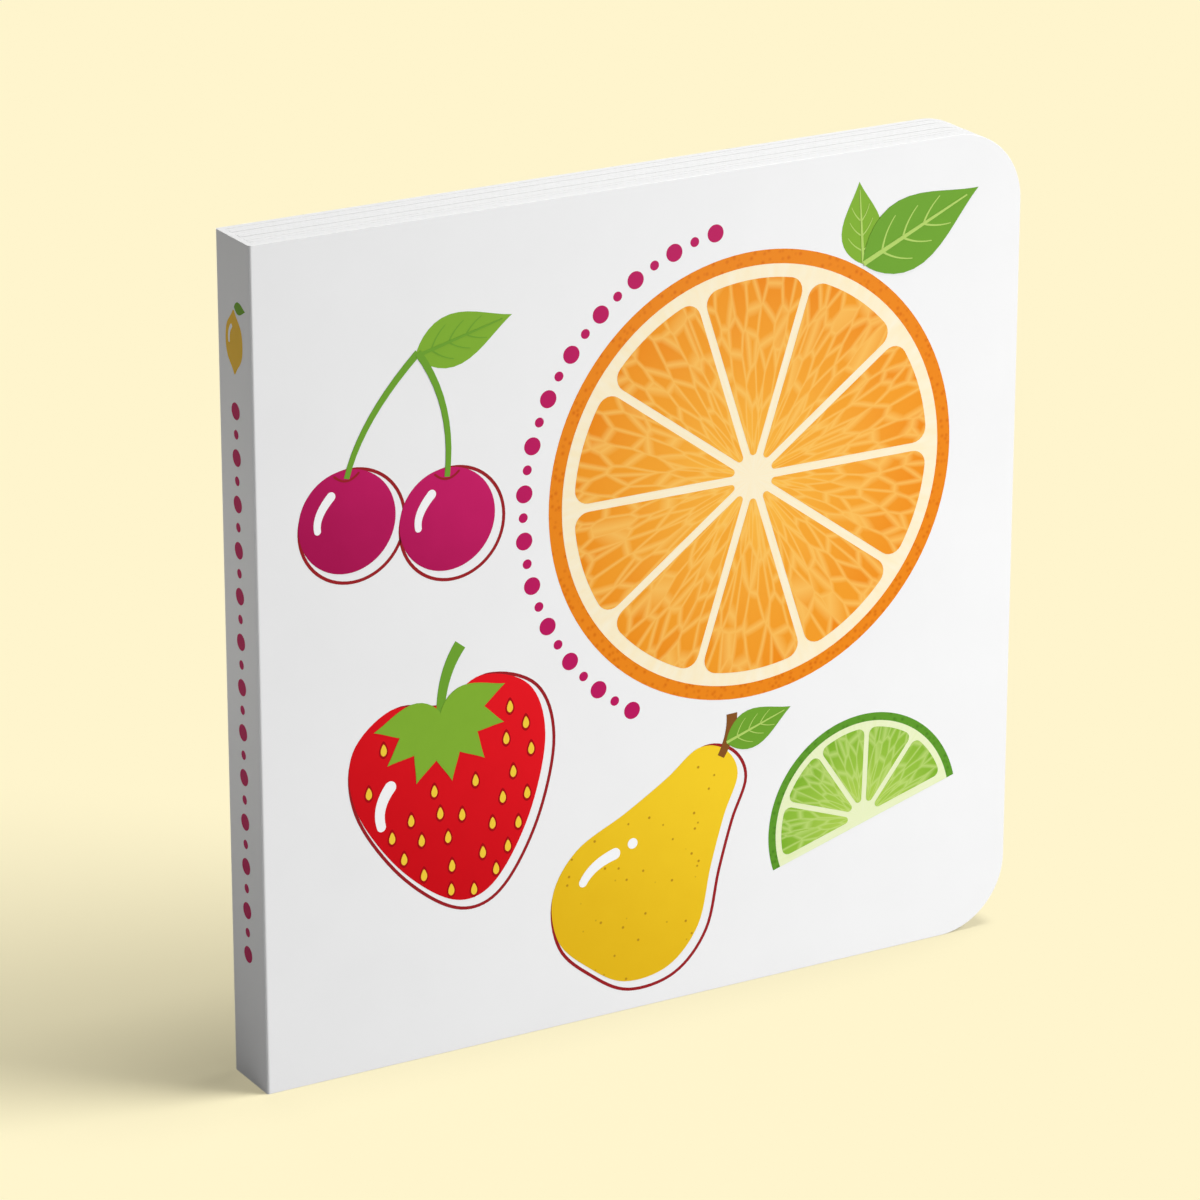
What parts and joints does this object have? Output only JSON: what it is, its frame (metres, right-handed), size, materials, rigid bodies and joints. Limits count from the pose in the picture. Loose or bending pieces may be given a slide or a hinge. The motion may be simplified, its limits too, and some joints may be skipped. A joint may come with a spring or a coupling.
{
  "type": "picture book",
  "caption": "Square children's board book with round fore-edge corners, a wrapped cover that folds along the spine and thick board leaves.",
  "frame": {"origin": "middle of the tail edge that the book stands on", "axes": "+X from the spine to the fore-edge, +Y from the front cover to the back cover, +Z from tail to head"},
  "size_m": [0.152, 0.0126, 0.152],
  "materials": {
    "cover_board": "satin",
    "spine_board": "satin",
    "leaf_board": "matte"
  },
  "bodies": {
    "book_block": {"spine": "spine_board", "page_block": "leaf_board"},
    "front_cover": {"front_cover": "cover_board"},
    "back_cover": {"back_cover": "cover_board"}
  },
  "joints": [
    {"name": "front_cover_hinge", "type": "hinge", "parent": "book_block", "child": "front_cover", "pos_m": [-0.07582, -0.00607, 0], "axis": [0, 0, -1], "range_deg": [0, 180]},
    {"name": "back_cover_hinge", "type": "hinge", "parent": "book_block", "child": "back_cover", "pos_m": [-0.07582, 0.00607, 0], "axis": [0, 0, 1], "range_deg": [0, 180]}
  ]
}
